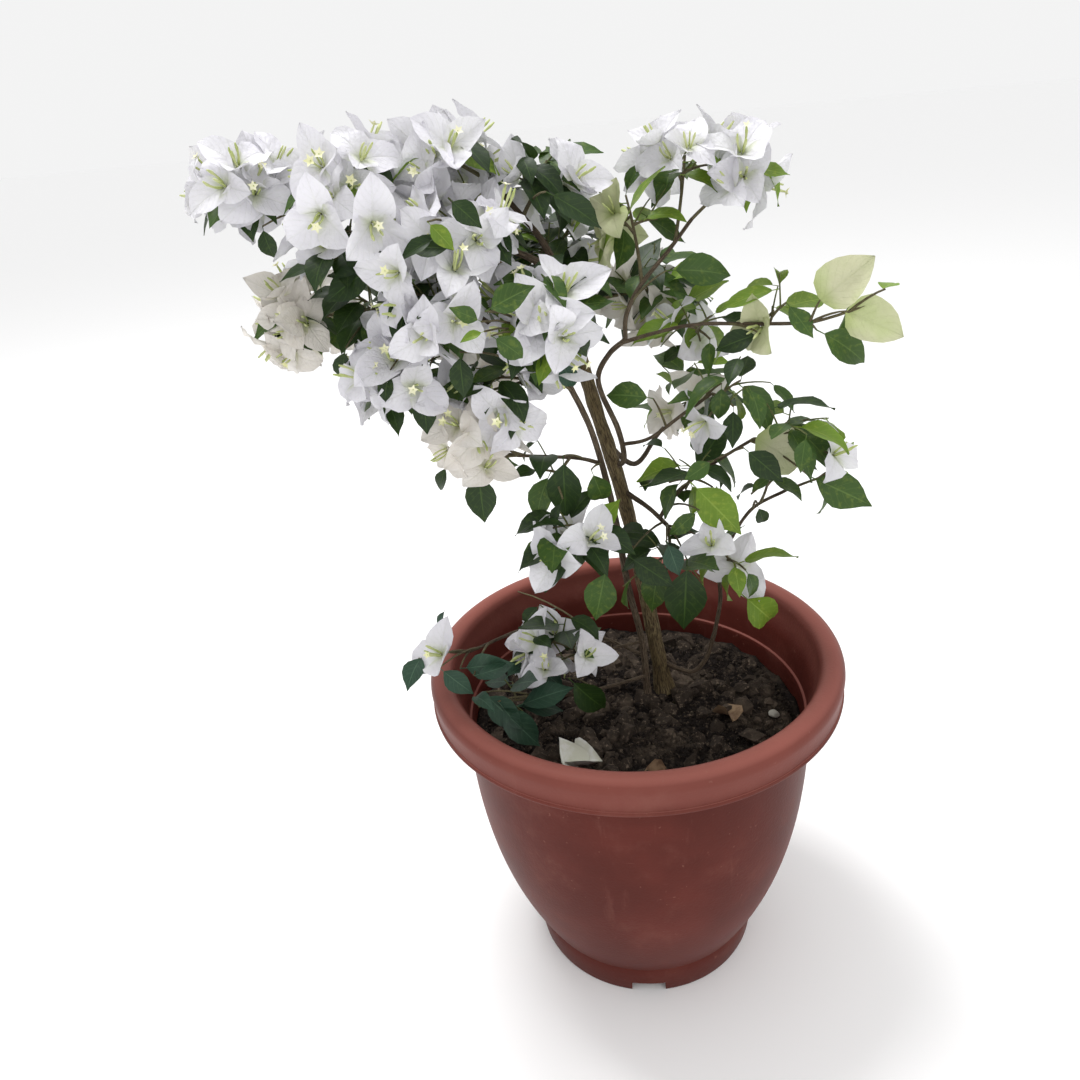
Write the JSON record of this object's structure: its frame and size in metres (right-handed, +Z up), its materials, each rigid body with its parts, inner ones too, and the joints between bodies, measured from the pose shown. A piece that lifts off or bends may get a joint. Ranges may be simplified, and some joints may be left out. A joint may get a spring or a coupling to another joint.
{
  "type": "potted white bougainvillea bush",
  "caption": "White bougainvillea bush with leaning stems, one-sided crown of papery blossom and leafy side boughs, in a round plastic pot with a rolled rim.",
  "frame": {"origin": "middle of the pot's flat underside", "axes": "+Z up, +X to the right of the front view, +Y to the back"},
  "size_m": [0.4852, 0.35, 0.735],
  "materials": {
    "pot": "terracotta-brown moulded plastic, satin, dusty and lightly scuffed",
    "soil": "dark moist crumbly potting soil",
    "trunk_bark": "tan to olive bark with grain along the stem",
    "stem_bark": "grey-brown young bark",
    "foliage": "dark green leaves, some yellow-green, with white bracts among them",
    "blossom": "papery white bracts with green-cream flower tubes, some green leaves"
  },
  "bodies": {
    "root": {"pot": "pot", "soil": "soil", "trunk": "trunk_bark", "left_stem": "stem_bark", "right_stem": "stem_bark", "upper_right_bough": "stem_bark", "right_bough": "stem_bark", "middle_right_bough": "stem_bark", "low_right_bough": "stem_bark", "outer_right_bough": "stem_bark", "side_shoot_foot": "stem_bark", "side_shoot": "stem_bark", "foot_shoot": "stem_bark", "pot_shoot": "stem_bark", "rim_shoot": "stem_bark", "low_left_bough": "stem_bark", "left_bough": "stem_bark", "lower_left_bough": "stem_bark", "front_left_bough": "stem_bark", "top_bough": "stem_bark", "back_left_bough": "stem_bark", "back_bough": "stem_bark", "back_right_bough": "stem_bark", "far_left_blossom": "blossom", "left_blossom": "blossom", "left_underside": "foliage", "top_blossom": "blossom", "middle_blossom": "blossom", "crown_blossom": "blossom", "lower_left_tip": "blossom", "lower_left_leaves": "foliage", "lower_left_front": "blossom", "front_left_blossom": "blossom", "front_blossom": "blossom", "front_lower_blossom": "blossom", "low_left_blossom": "blossom", "low_left_leaves": "foliage", "upper_right_blossom": "blossom", "upper_right_tip": "blossom", "upper_right_inner": "foliage", "right_inner": "foliage", "right_leaves": "foliage", "right_tip": "foliage", "middle_right": "foliage", "outer_right": "foliage", "heart_right": "foliage", "side_leaves": "foliage", "side_tip": "foliage", "foot_blossom": "blossom", "foot_leaves": "foliage", "side_foot_leaves": "foliage", "pot_leaves": "foliage", "pot_blossom": "blossom", "rim_blossom": "blossom", "back_left_blossom": "blossom", "back_blossom": "blossom", "back_underside": "foliage", "back_right_blossom": "blossom", "back_right_leaves": "foliage"}
  },
  "joints": []
}
